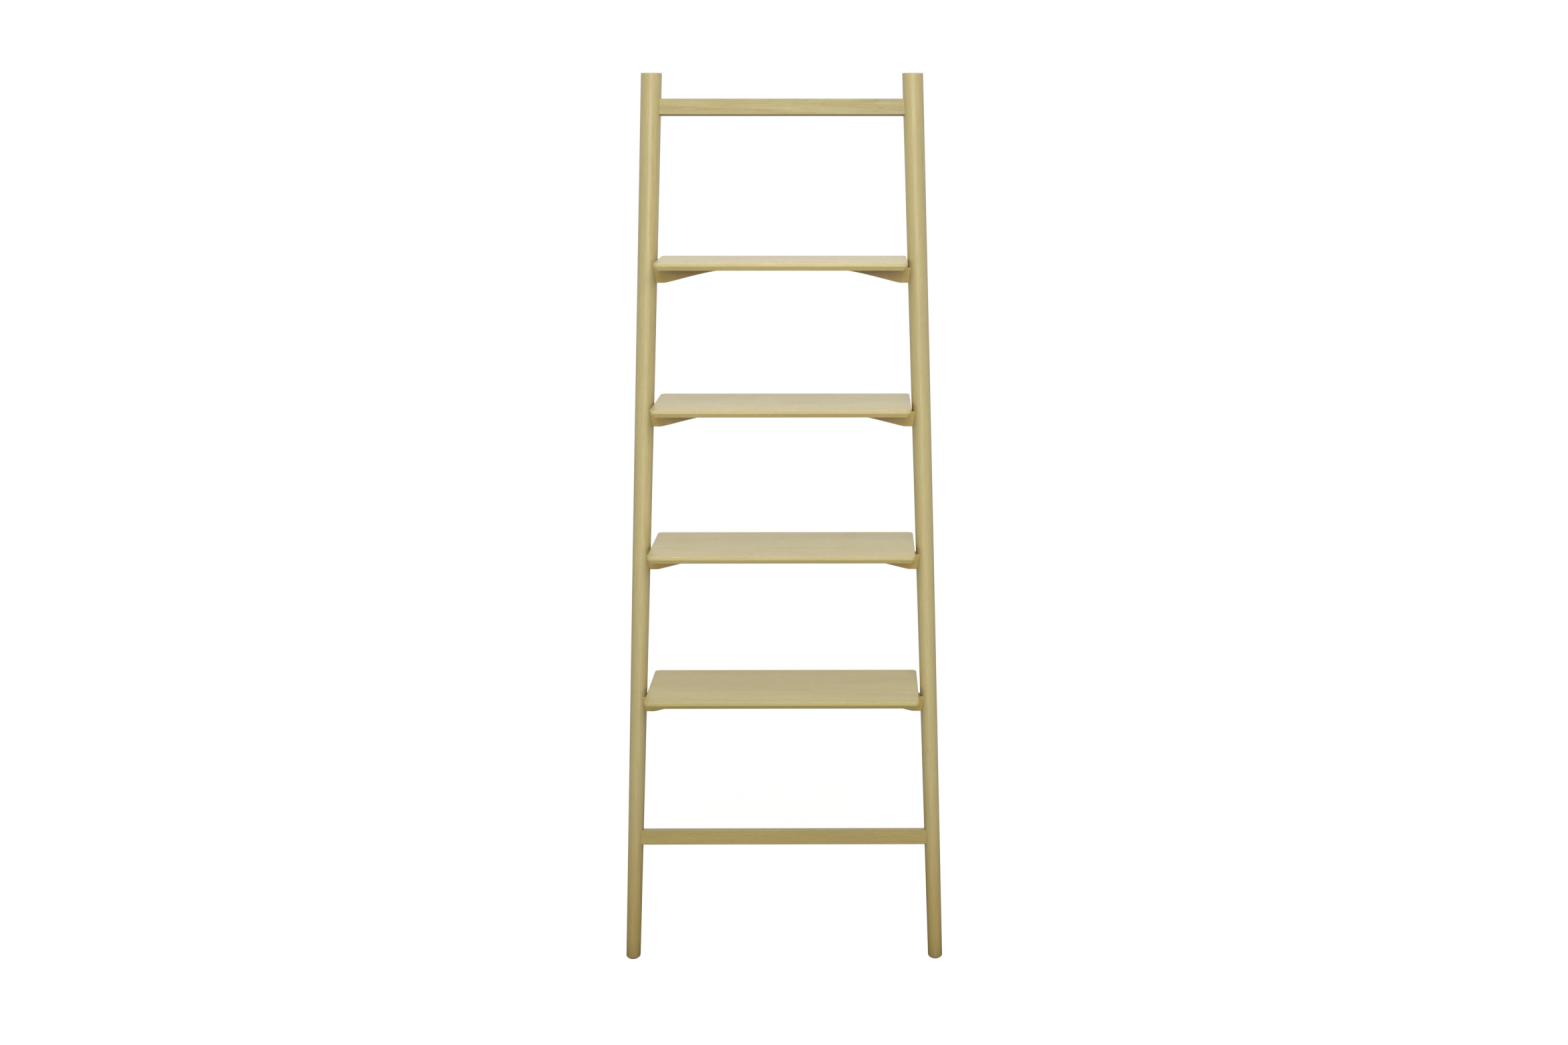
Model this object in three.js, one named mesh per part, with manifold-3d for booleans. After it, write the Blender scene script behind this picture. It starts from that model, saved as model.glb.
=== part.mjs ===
// A leaning ladder shelf in oak: two round tapered stiles, two flat rails and four arched
// bearers between them, four bevelled boards on the bearers, dowels, screws and pads.
// Millimetres, +Z up, +Y towards the wall that it leans on, +X to the right seen from the front.
import * as THREE from "three";
import { mergeVertices } from "three/addons/utils/BufferGeometryUtils.js";
import Module from "manifold-3d";

const wasm = await Module();
wasm.setup();

// Whole ladder
const overallHeight = 1800;
const leanAngle = THREE.MathUtils.degToRad(11.1);
const topHalfSpan = 268.5;
const footHalfSpan = 315.5;

// Stiles
const stileTopDiameter = 43;
const stileMiddleDiameter = 37.6;
const stileFootDiameter = 29.5;
const stileTopArris = 1.2;
const stileFootRound = 3.5;
const stileSides = 32;
const stileRings = 10;
const edgeRoundSteps = 3;

// Rails
const topRailDrop = 69;
const topRailWidth = 32;
const bottomRailHeight = 248.5;
const bottomRailWidth = 30;
const railThickness = 22;
const railArris = 1;

// Shelf boards
const shelfCount = 4;
const topShelfDrop = 373;
const lowestShelfHeight = 557;
const shelfFrontReach = 103;
const shelfBackReach = 114;
const topShelfBackReach = 75;
const shelfEndInset = 22;
const shelfNose = 7;
const shelfBevelHeight = 9;
const shelfBevelDepth = 8.5;
const shelfCornerRadius = 10;
const shelfUndersideRadius = 1.5;
const shelfTopArris = 1.2;
const cornerSteps = 5;

// Arched bearers
const bearerThickness = 25;
const bearerEndHeight = 32;
const bearerMiddleHeight = 6;
const bearerLand = 15;
const bearerArchLength = 122;
const bearerArris = 1;
const archSteps = 10;
const archStartShare = 0.065;
const archEndShare = 0.77;

// Dowels
const dowelDiameter = 8;
const dowelInStile = 15;
const dowelInRung = 20;
const dowelChamfer = 1;
const dowelSpacing = 15;
const dowelSides = 12;

// Shelf screws
const screwLength = 18;
const screwShankDiameter = 4;
const screwHeadDiameter = 8;
const screwHeadRim = 0.6;
const screwTipLength = 4;
const screwSpacing = 80;
const screwSocketDiameter = 3;
const screwSocketDepth = 1.6;
const screwSides = 12;
const socketSides = 6;

// Pads
const footPadDiameter = 22;
const footPadHeight = 1.5;
const wallPadDiameter = 14;
const wallPadHeight = 2.5;
const wallPadDrop = 9;
const wallFlatDepth = 5;
const padChamfer = 0.6;
const padSides = 24;

// Fits
const copeGap = 0.3;
const holeClearance = 0.2;
const dowelEndClearance = 0.5;
const cutOverrun = 20;

const oak = { color: 0xc6b886, roughness: 0.55, metalness: 0 };
const beech = { color: 0xd2b48a, roughness: 0.7, metalness: 0 };
const rubber = { color: 0x2b2a28, roughness: 0.85, metalness: 0 };
const zinc = { color: 0xb4b6ba, roughness: 0.35, metalness: 1 };

const leanSlope = Math.tan(leanAngle);
const shelfThickness = shelfNose + shelfBevelHeight;
const archRise = bearerEndHeight - bearerMiddleHeight;
const topRailZ = overallHeight - topRailDrop;
const topShelfZ = overallHeight - topShelfDrop;
const quarterTurn = Math.PI / 2;

const ladder = new THREE.Group();

// Height above the floor, to the stile axis' distance from the middle plane.
function axisX(z) {
  return footHalfSpan + ((topHalfSpan - footHalfSpan) * z) / overallHeight;
}

// Height above the floor, to the stile axis' place towards the wall, zero at the top.
function axisY(z) {
  return (z - overallHeight) * leanSlope;
}

// The stile swells gently: a parabola through its top, middle and foot diameters.
function stileRadius(z) {
  const share = 1 - z / overallHeight;
  const straight = stileTopDiameter + (stileFootDiameter - stileTopDiameter) * share;
  const swell = stileMiddleDiameter - (stileTopDiameter + stileFootDiameter) / 2;
  return (straight + 4 * swell * share * (1 - share)) / 2;
}

// Inner face of a stile at a height, as a distance from the middle plane.
function stileFaceX(z) {
  return axisX(z) - stileRadius(z);
}

function solidFrom(geometry) {
  const bare = geometry.clone();
  bare.deleteAttribute("normal");
  bare.deleteAttribute("uv");
  const merged = mergeVertices(bare);
  const mesh = new wasm.Mesh({
    numProp: 3,
    vertProperties: merged.attributes.position.array,
    triVerts: new Uint32Array(merged.index.array),
  });
  return new wasm.Manifold(mesh);
}

function geometryFrom(solid) {
  const mesh = solid.getMesh();
  const geometry = new THREE.BufferGeometry();
  geometry.setAttribute("position", new THREE.BufferAttribute(mesh.vertProperties, 3));
  geometry.setIndex(new THREE.BufferAttribute(mesh.triVerts, 1));
  geometry.computeVertexNormals();
  return geometry;
}

function cut(geometry, tools) {
  let solid = solidFrom(geometry);
  for (const tool of tools) {
    solid = solid.subtract(solidFrom(tool));
  }
  return geometryFrom(solid);
}

function addPiece(name, geometry, finish) {
  const piece = new THREE.Mesh(geometry, new THREE.MeshStandardMaterial(finish));
  piece.name = name;
  ladder.add(piece);
}

// A solid of revolution about +Z. The profile is pairs of radius and height, from the bottom up.
function turned(profile, sides) {
  const points = profile.map(([radius, height]) => new THREE.Vector2(radius, height));
  const geometry = new THREE.LatheGeometry(points, sides);
  geometry.rotateX(quarterTurn);
  return geometry;
}

// Points of a quarter round that runs from a flat end out to the side of a pole.
function edgeRound(radius, end, round, towards) {
  const points = [];
  for (let i = 0; i <= edgeRoundSteps; i++) {
    const angle = (quarterTurn * i) / edgeRoundSteps;
    const inset = round * (1 - Math.sin(angle));
    const rise = round * (1 - Math.cos(angle));
    points.push([radius - inset, end + towards * rise]);
  }
  return points;
}

// A whole pole, with its level ends: turned upright, then leaned and splayed by a shear.
function polePoints(extra) {
  const bottom = footPadHeight;
  const foot = edgeRound(stileRadius(bottom) + extra, bottom, stileFootRound, 1);
  const head = edgeRound(stileRadius(overallHeight) + extra, overallHeight, stileTopArris, -1);
  const body = [];
  for (let i = 1; i < stileRings; i++) {
    const z = bottom + ((overallHeight - bottom) * i) / stileRings;
    body.push([stileRadius(z) + extra, z]);
  }
  return [[0, bottom], ...foot, ...body, ...head.reverse(), [0, overallHeight]];
}

function pole(side, extra) {
  const geometry = turned(polePoints(extra), stileSides);
  const splay = (side * (topHalfSpan - footHalfSpan)) / overallHeight;
  const stretch = 1 / Math.cos(leanAngle);
  const place = new THREE.Matrix4().set(
    1, 0, splay, side * footHalfSpan,
    0, stretch, leanSlope, axisY(0),
    0, 0, 1, 0,
    0, 0, 0, 1,
  );
  geometry.applyMatrix4(place);
  return geometry;
}

// The two places, on the stile axis, where the dowels of a rung's end go.
function dowelHeights(middle, direction) {
  const half = (dowelSpacing / 2) * direction;
  return { lower: middle - half, upper: middle + half };
}

function alongX(geometry, side, z) {
  geometry.rotateY(quarterTurn);
  geometry.translate(side * (stileFaceX(z) + (dowelInStile - dowelInRung) / 2), axisY(z), z);
  return geometry;
}

function dowel(side, z) {
  const radius = dowelDiameter / 2;
  const half = (dowelInStile + dowelInRung) / 2;
  const profile = [
    [0, -half],
    [radius - dowelChamfer, -half],
    [radius, dowelChamfer - half],
    [radius, half - dowelChamfer],
    [radius - dowelChamfer, half],
    [0, half],
  ];
  return alongX(turned(profile, dowelSides), side, z);
}

function dowelDrill(side, z) {
  const radius = dowelDiameter / 2 + holeClearance;
  const half = (dowelInStile + dowelInRung) / 2 + dowelEndClearance;
  const profile = [
    [0, -half],
    [radius, -half],
    [radius, half],
    [0, half],
  ];
  return alongX(turned(profile, dowelSides), side, z);
}

// Rungs: every piece that runs from stile to stile, with the heights of its dowels.
function rungTable() {
  const leanCosine = Math.cos(leanAngle);
  const rungs = [
    { name: "top_rail", dowels: dowelHeights(topRailZ, leanCosine) },
    { name: "bottom_rail", dowels: dowelHeights(bottomRailHeight, leanCosine) },
  ];
  for (let i = 0; i < shelfCount; i++) {
    const middle = shelfTop(i) - shelfThickness - bearerEndHeight / 2;
    rungs.push({ name: `bearer_${i + 1}`, dowels: dowelHeights(middle, 1) });
  }
  return rungs;
}

// Boards are numbered from the top down, and are evenly spaced.
function shelfTop(index) {
  return topShelfZ - ((topShelfZ - lowestShelfHeight) * index) / (shelfCount - 1);
}

function drillsOf(rung, side) {
  return Object.values(rung.dowels).map((z) => dowelDrill(side, z));
}

function wallFlatY() {
  return stileRadius(overallHeight) / Math.cos(leanAngle) - wallFlatDepth;
}

function wallFlatCutter(side) {
  const width = stileTopDiameter + cutOverrun;
  const height = wallFlatDepth / leanSlope + cutOverrun;
  const geometry = new THREE.BoxGeometry(width, cutOverrun, height);
  const z = overallHeight + cutOverrun - height / 2;
  geometry.translate(side * axisX(overallHeight), wallFlatY() + cutOverrun / 2, z);
  return geometry;
}

function buildStile(side, name) {
  const tools = rungTable().flatMap((rung) => drillsOf(rung, side));
  tools.push(wallFlatCutter(side));
  addPiece(name, cut(pole(side, 0), tools), oak);
}

// Cuts a rung's ends to sit round the stiles, and drills them.
function fitRung(geometry, rung) {
  const tools = [];
  for (const side of [-1, 1]) {
    tools.push(pole(side, copeGap), ...drillsOf(rung, side));
  }
  return cut(geometry, tools);
}

function chamferedRectangle(width, height, chamfer) {
  const x = width / 2;
  const y = height / 2;
  const shape = new THREE.Shape();
  shape.moveTo(x, chamfer - y);
  shape.lineTo(x, y - chamfer);
  shape.lineTo(x - chamfer, y);
  shape.lineTo(chamfer - x, y);
  shape.lineTo(-x, y - chamfer);
  shape.lineTo(-x, chamfer - y);
  shape.lineTo(chamfer - x, -y);
  shape.lineTo(x - chamfer, -y);
  shape.closePath();
  return shape;
}

function rail(width, z) {
  const length = 2 * axisX(z);
  const section = chamferedRectangle(width, railThickness, railArris);
  const geometry = new THREE.ExtrudeGeometry(section, { depth: length, bevelEnabled: false });
  geometry.translate(0, 0, -length / 2);
  geometry.rotateY(quarterTurn);
  geometry.rotateX(-leanAngle);
  geometry.translate(0, axisY(z), z);
  return geometry;
}

// Half of the bearer's arched underside, from the stile inwards: a flat land, then one curve
// that leaves it softly and levels out into the slim middle.
function archCurve(landEnd, bottom) {
  const start = new THREE.Vector2(landEnd, bottom);
  const startPull = new THREE.Vector2(landEnd - bearerArchLength * archStartShare, bottom);
  const endPull = new THREE.Vector2(landEnd - bearerArchLength * archEndShare, bottom + archRise);
  const end = new THREE.Vector2(landEnd - bearerArchLength, bottom + archRise);
  return new THREE.CubicBezierCurve(start, startPull, endPull, end);
}

function bearer(index) {
  const top = shelfTop(index) - shelfThickness;
  const bottom = top - bearerEndHeight;
  const middle = (top + bottom) / 2;
  const endX = axisX(middle);
  const rightArch = archCurve(stileFaceX(middle) - bearerLand, bottom).getPoints(archSteps);
  const leftArch = rightArch.map((point) => new THREE.Vector2(-point.x, point.y));
  const outline = new THREE.Shape([
    new THREE.Vector2(endX, top),
    new THREE.Vector2(-endX, top),
    new THREE.Vector2(-endX, bottom),
    ...leftArch,
    ...rightArch.reverse(),
    new THREE.Vector2(endX, bottom),
  ]);
  const geometry = new THREE.ExtrudeGeometry(outline, {
    depth: bearerThickness - 2 * bearerArris,
    bevelEnabled: true,
    bevelThickness: bearerArris,
    bevelSize: bearerArris,
    bevelOffset: -bearerArris,
    bevelSegments: 1,
  });
  geometry.translate(0, 0, bearerArris - bearerThickness / 2);
  geometry.rotateX(quarterTurn);
  geometry.translate(0, axisY(middle), 0);
  return geometry;
}

// One level of a board: a rectangle with rounded corners, drawn in by an inset.
function boardRing(halfWidth, front, back, inset, radius, z) {
  const corners = [
    [halfWidth - inset - radius, back - inset - radius, 0],
    [inset + radius - halfWidth, back - inset - radius, 1],
    [inset + radius - halfWidth, front + inset + radius, 2],
    [halfWidth - inset - radius, front + inset + radius, 3],
  ];
  const ring = [];
  for (const [x, y, quarter] of corners) {
    for (let i = 0; i <= cornerSteps; i++) {
      const angle = quarterTurn * (quarter + i / cornerSteps);
      ring.push(new THREE.Vector3(x + radius * Math.cos(angle), y + radius * Math.sin(angle), z));
    }
  }
  return ring;
}

// A closed skin over level rings of equal count, from the bottom ring to the top one.
function loft(rings) {
  const count = rings[0].length;
  const faces = [];
  for (let level = 0; level < rings.length - 1; level++) {
    for (let i = 0; i < count; i++) {
      const next = (i + 1) % count;
      const low = level * count;
      const high = low + count;
      faces.push(low + i, low + next, high + next, low + i, high + next, high + i);
    }
  }
  const last = (rings.length - 1) * count;
  for (let i = 1; i < count - 1; i++) {
    faces.push(0, i + 1, i, last, last + i, last + i + 1);
  }
  const geometry = new THREE.BufferGeometry().setFromPoints(rings.flat());
  geometry.setIndex(faces);
  return geometry;
}

function board(index) {
  const top = shelfTop(index);
  const middle = top - shelfThickness / 2;
  const halfWidth = axisX(middle) - shelfEndInset;
  const front = axisY(middle) - shelfFrontReach;
  const back = axisY(middle) + (index === 0 ? topShelfBackReach : shelfBackReach);
  const levels = [
    [shelfBevelDepth, shelfUndersideRadius, top - shelfThickness],
    [0, shelfCornerRadius, top - shelfNose],
    [0, shelfCornerRadius, top - shelfTopArris],
    [shelfTopArris, shelfCornerRadius - shelfTopArris, top],
  ];
  return loft(levels.map(([inset, radius, z]) => boardRing(halfWidth, front, back, inset, radius, z)));
}

// The screw's outline from the head up, and the same outline with clearance for its hole.
function screwProfile(clearance, overrun) {
  const head = screwHeadDiameter / 2 + clearance;
  const shank = screwShankDiameter / 2 + clearance;
  const shankStart = screwHeadRim + head - shank;
  return [
    [0, -overrun],
    [head, -overrun],
    [head, screwHeadRim],
    [shank, shankStart],
    [shank, screwLength - screwTipLength],
    [0, screwLength + clearance],
  ];
}

function screwPlaces(index) {
  const top = shelfTop(index) - shelfThickness;
  const y = axisY(top - bearerEndHeight / 2);
  return [-1, 0, 1].map((step) => [step * screwSpacing, y, top - bearerMiddleHeight]);
}

function screw([x, y, z]) {
  const socket = new THREE.CylinderGeometry(
    screwSocketDiameter / 2,
    screwSocketDiameter / 2,
    2 * screwSocketDepth,
    socketSides,
  );
  socket.rotateX(quarterTurn);
  const geometry = cut(turned(screwProfile(0, 0), screwSides), [socket]);
  geometry.translate(x, y, z);
  return geometry;
}

function screwDrill([x, y, z]) {
  const geometry = turned(screwProfile(holeClearance, cutOverrun), screwSides);
  geometry.translate(x, y, z);
  return geometry;
}

function buildShelf(index) {
  const number = index + 1;
  const places = screwPlaces(index);
  const drills = places.map(screwDrill);
  const rung = rungTable().find((entry) => entry.name === `bearer_${number}`);
  addPiece(`shelf_${number}`, cut(board(index), drills), oak);
  addPiece(rung.name, cut(fitRung(bearer(index), rung), drills), oak);
  const names = ["left", "middle", "right"];
  places.forEach((place, i) => addPiece(`shelf_screw_${number}_${names[i]}`, screw(place), zinc));
}

function buildRails() {
  const [top, bottom] = rungTable();
  addPiece(top.name, fitRung(rail(topRailWidth, topRailZ), top), oak);
  addPiece(bottom.name, fitRung(rail(bottomRailWidth, bottomRailHeight), bottom), oak);
}

function buildDowels(side, sideName) {
  for (const rung of rungTable()) {
    for (const [place, z] of Object.entries(rung.dowels)) {
      addPiece(`dowel_${rung.name}_${sideName}_${place}`, dowel(side, z), beech);
    }
  }
}

function pad(diameter, height) {
  const radius = diameter / 2;
  const profile = [
    [0, 0],
    [radius - padChamfer, 0],
    [radius, padChamfer],
    [radius, height],
    [0, height],
  ];
  return turned(profile, padSides);
}

function buildPads(side, sideName) {
  const foot = pad(footPadDiameter, footPadHeight);
  foot.translate(side * axisX(footPadHeight), axisY(footPadHeight), 0);
  addPiece(`foot_pad_${sideName}`, foot, rubber);
  const z = overallHeight - wallPadDrop;
  const wall = pad(wallPadDiameter, wallPadHeight);
  wall.rotateX(quarterTurn);
  wall.translate(side * axisX(z), wallFlatY() + wallPadHeight, z);
  addPiece(`wall_pad_${sideName}`, wall, rubber);
}

// Brings the middle of the footprint to the origin. Both sides are alike, so only Y moves.
function centreOnFootprint() {
  const box = new THREE.Box3().setFromObject(ladder);
  ladder.position.y = -(box.min.y + box.max.y) / 2;
}

for (const [side, sideName] of [[-1, "left"], [1, "right"]]) {
  buildStile(side, `stile_${sideName}`);
  buildDowels(side, sideName);
  buildPads(side, sideName);
}
buildRails();
for (let i = 0; i < shelfCount; i++) {
  buildShelf(i);
}
centreOnFootprint();

export default ladder;
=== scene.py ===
"""Looks of a leaning ladder shelf in oak.

Two round tapered stiles lean on a wall. Two flat rails and four arched bearers join them, and
four bevelled boards lie on the bearers. Metres, +Z up, +Y towards the wall, +X to the right.
"""

import logging
import math
from dataclasses import dataclass
from enum import Enum
from typing import Callable, Iterable, Sequence, Union

import bmesh
import bpy
from mathutils import Matrix, Vector


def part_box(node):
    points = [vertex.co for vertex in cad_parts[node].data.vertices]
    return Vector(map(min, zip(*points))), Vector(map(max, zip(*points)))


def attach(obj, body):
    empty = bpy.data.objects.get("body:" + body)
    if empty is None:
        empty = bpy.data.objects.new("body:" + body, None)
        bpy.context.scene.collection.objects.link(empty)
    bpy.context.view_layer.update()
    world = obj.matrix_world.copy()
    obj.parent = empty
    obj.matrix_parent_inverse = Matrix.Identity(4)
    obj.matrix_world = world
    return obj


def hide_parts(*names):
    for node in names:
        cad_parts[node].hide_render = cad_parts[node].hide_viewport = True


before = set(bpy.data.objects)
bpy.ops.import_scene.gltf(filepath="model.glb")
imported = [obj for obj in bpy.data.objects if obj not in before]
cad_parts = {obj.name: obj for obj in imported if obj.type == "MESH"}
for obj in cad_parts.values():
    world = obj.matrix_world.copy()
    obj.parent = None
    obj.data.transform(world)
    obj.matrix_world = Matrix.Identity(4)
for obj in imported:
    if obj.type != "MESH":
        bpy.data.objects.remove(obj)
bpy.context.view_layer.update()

LOG = logging.getLogger("ladder_shelf")

MM = 0.001
BODY = "root"
SMOOTH_ANGLE = math.radians(32.0)
CORNER_ANGLE = math.radians(50.0)
QUARTER_TURN = math.pi / 2
MERGE_DISTANCE = 1e-7
SAME_PLACE = 1e-5
CUT_OVERRUN = 20 * MM
COPE_GAP = 0.3 * MM
HOLE_CLEARANCE = 0.2 * MM
ARRIS_STEPS = 3
HEXAGON = 6
FACE_WEIGHT = 100
NOISE_RANGE = (0.3, 0.7)

Node = bpy.types.Node
Socket = bpy.types.NodeSocket
Material = bpy.types.Material
Mesh = bmesh.types.BMesh
Thing = bpy.types.Object
Point = tuple[float, float]
Place = tuple[float, float, float]
Colour = tuple[float, float, float]
Value = Union[Socket, float, Sequence[float]]


class Side(Enum):
    """The two stiles, with the sign of their place along X."""

    LEFT = -1
    RIGHT = 1

    @property
    def label(self) -> str:
        """The word that names use for this side."""
        return self.name.lower()


class Slot(Enum):
    """The record's material slots."""

    OAK = "oak"
    BEECH = "dowel_beech"
    RUBBER = "pad_rubber"
    ZINC = "screw_zinc"


def linear(colour: Colour) -> tuple[float, float, float, float]:
    """Turns a screen colour into the scene's own colour.

    Args:
        colour: Red, green and blue from 0 to 255, as a screen shows them.

    Returns:
        The linear colour with an alpha of 1.
    """
    shares = [channel / 255 for channel in colour]
    values = [s / 12.92 if s <= 0.04045 else ((s + 0.055) / 1.055) ** 2.4 for s in shares]
    return (values[0], values[1], values[2], 1.0)


# Shader graphs


class Graph:
    """Adds nodes to a node tree and joins them."""

    def __init__(self, tree: bpy.types.NodeTree) -> None:
        """Keeps the tree that the nodes go into."""
        self.tree = tree

    def feed(self, node: Node, inputs: dict) -> None:
        """Sets a node's inputs.

        Args:
            node: The node.
            inputs: Socket names or numbers, each with a value or the socket that feeds it.
        """
        for key, value in inputs.items():
            if isinstance(value, Socket):
                self.tree.links.new(value, node.inputs[key])
            else:
                node.inputs[key].default_value = value

    def add(self, kind: str, inputs: dict | None = None, **settings: object) -> Node:
        """Adds a node.

        Args:
            kind: The node's type name.
            inputs: Its inputs.
            **settings: The node's own settings.

        Returns:
            The new node.
        """
        node = self.tree.nodes.new(kind)
        for name, value in settings.items():
            setattr(node, name, value)
        self.feed(node, inputs or {})
        return node

    def math(self, operation: str, *values: Value, clamp: bool = False) -> Socket:
        """Joins up to three numbers with a Math node, which may keep the result from 0 to 1."""
        inputs = dict(enumerate(values))
        return self.add("ShaderNodeMath", inputs, operation=operation, use_clamp=clamp).outputs[0]

    def vector(
        self, operation: str, *values: Value, output: str = "Vector", **named: Value
    ) -> Socket:
        """Joins vectors with a Vector Math node, given by order or by name, into one output."""
        inputs = {**dict(enumerate(values)), **named}
        return self.add("ShaderNodeVectorMath", inputs, operation=operation).outputs[output]

    def millimetres(self, place: Value) -> Socket:
        """Turns a position in metres into one in millimetres."""
        return self.vector("SCALE", place, Scale=1 / MM)

    def noise(
        self,
        place: Value,
        scale: Sequence[float],
        detail: float = 2.0,
        roughness: float = 0.5,
        output: int | str = 0,
    ) -> Socket:
        """Adds noise.

        Args:
            place: The position, in millimetres.
            scale: How many times per millimetre it changes, along X and across it, along each
                axis, or everywhere.
            detail: How many finer layers it has.
            roughness: How strong the finer layers are.
            output: Which of its outputs is taken.

        Returns:
            The noise's socket.
        """
        stretch = (*scale, scale[-1], scale[-1])[:3]
        stretched = self.vector("MULTIPLY", place, stretch)
        inputs = {"Vector": stretched, "Scale": 1.0, "Detail": detail, "Roughness": roughness}
        return self.add("ShaderNodeTexNoise", inputs, noise_dimensions="3D").outputs[output]

    def span(
        self, value: Value, low: float, high: float, to_low: float = 0.0, to_high: float = 1.0
    ) -> Socket:
        """Maps a range of a value smoothly onto another range.

        Args:
            value: The value's socket.
            low: The start of its range.
            high: The end of its range.
            to_low: What the start becomes.
            to_high: What the end becomes.

        Returns:
            The mapped value's socket.
        """
        inputs = {"Value": value, "From Min": low, "From Max": high}
        inputs |= {"To Min": to_low, "To Max": to_high}
        return self.add(
            "ShaderNodeMapRange", inputs, interpolation_type="SMOOTHSTEP"
        ).outputs[0]

    def blend(self, share: Value, first: Value, second: Value, mode: str = "MIX") -> Socket:
        """Mixes a share of the second colour into the first, or joins the two in another mode."""
        inputs = {0: share, 6: first, 7: second}
        return self.add("ShaderNodeMix", inputs, data_type="RGBA", blend_type=mode).outputs[2]

    def bump(self, height: Value, strength: float, distance: float) -> Socket:
        """Turns a height into a normal, for a relief of a given depth in metres."""
        inputs = {"Height": height, "Strength": strength, "Distance": distance}
        return self.add("ShaderNodeBump", inputs).outputs[0]


class NodeGroup:
    """A shader node group that is built once. It gives masks and other plain numbers."""

    def __init__(
        self,
        name: str,
        inputs: dict[str, float | None],
        outputs: Sequence[str],
        fill: Callable[[Graph, Node], dict[str, Socket]],
    ) -> None:
        """Makes the group.

        Args:
            name: The group's name.
            inputs: Each input's name and value, or None for a vector.
            outputs: The outputs' names.
            fill: Adds the nodes, and returns the socket for each output.
        """
        self.tree = bpy.data.node_groups.new(name, "ShaderNodeTree")
        add_socket = self.tree.interface.new_socket
        for label, value in inputs.items():
            kind = "NodeSocketVector" if value is None else "NodeSocketFloat"
            socket = add_socket(name=label, in_out="INPUT", socket_type=kind)
            if value is not None:
                socket.default_value = value
        for label in outputs:
            add_socket(name=label, in_out="OUTPUT", socket_type="NodeSocketFloat")
        graph = Graph(self.tree)
        graph.add("NodeGroupOutput", fill(graph, graph.add("NodeGroupInput")))

    def place(self, graph: Graph, inputs: dict) -> bpy.types.bpy_prop_collection:
        """Places the group in a material, with its own inputs, and returns its outputs."""
        return graph.add("ShaderNodeGroup", inputs, node_tree=self.tree).outputs


@dataclass(frozen=True)
class LogGrain:
    """How oak grows. The first pairs are changes per millimetre, along and across the grain.

    A season is a time of the year and how porous the wood of that time is. Lifts say how far
    something stands out, where 1 is the depth of a pore.
    """

    wander: Point = (0.0016, 0.008)
    uneven: Point = (0.002, 0.035)
    streaks: Point = (0.014, 0.45)
    fibres: Point = (0.03, 1.5)
    vessels: Point = (0.1, 2.2)
    slow: Point = (0.0022, 0.018)
    uneven_years: float = 2.6
    season: tuple[Point, ...] = ((0.1, 1.0), (0.28, 0.75), (0.55, 0.16), (0.85, 0.0))
    turn_of_year: float = 0.15
    pore_range: Point = (0.56, 0.7)
    late_pores: float = 0.25
    fibre_lift: float = 0.35
    early_lift: float = -0.25

    def fill(self, graph: Graph, entry: Node) -> dict[str, Socket]:
        """Makes oak as it is inside a log, which lies along X with its heart on the axis.

        Boards, bearers and round stiles so each show the grain of their own cut.

        Args:
            graph: The group's graph.
            entry: The group's input node.

        Returns:
            The masks that a wood finish is mixed from, and the height of its surface.
        """
        across = (0.0, 1.0, 1.0)
        place = graph.millimetres(entry.outputs["Vector"])
        drift = graph.noise(place, self.wander, output="Color")
        drift = graph.vector("SUBTRACT", drift, (0.5, 0.5, 0.5))
        drift = graph.vector("MULTIPLY", drift, across)
        drift = graph.vector("SCALE", drift, Scale=entry.outputs["Wander"])
        bent = graph.vector("ADD", place, drift)

        radius = graph.vector("MULTIPLY", bent, across)
        radius = graph.vector("LENGTH", radius, output="Value")
        years = graph.math("DIVIDE", radius, entry.outputs["Ring spacing"])
        uneven = graph.noise(bent, self.uneven)
        years = graph.math("MULTIPLY_ADD", uneven, self.uneven_years, years)
        early = graph.add("ShaderNodeValToRGB", {0: graph.math("FRACT", years)})
        ramp = early.color_ramp
        for stop in ramp.elements:
            stop.color = (self.turn_of_year, self.turn_of_year, self.turn_of_year, 1)
        for time, level in self.season:
            ramp.elements.new(time).color = (level, level, level, 1)
        ramp.interpolation = "B_SPLINE"
        early = early.outputs[0]

        fibres = graph.noise(bent, self.fibres, detail=2.0, roughness=0.65)
        vessels = graph.noise(bent, self.vessels, detail=1.0, roughness=0.4)
        pores = graph.span(vessels, *self.pore_range)
        share = graph.math("MULTIPLY_ADD", early, 1 - self.late_pores, self.late_pores)
        pores = graph.math("MULTIPLY", pores, share, clamp=True)
        sunk = graph.math("MULTIPLY", pores, -1.0)
        lift = graph.math("MULTIPLY_ADD", fibres, self.fibre_lift, sunk)
        return {
            "Early wood": early,
            "Pores": pores,
            "Streaks": graph.noise(bent, self.streaks, detail=3.0, roughness=0.6),
            "Fibres": fibres,
            "Slow": graph.noise(bent, self.slow),
            "Height": graph.math("MULTIPLY_ADD", early, self.early_lift, lift),
        }


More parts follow.
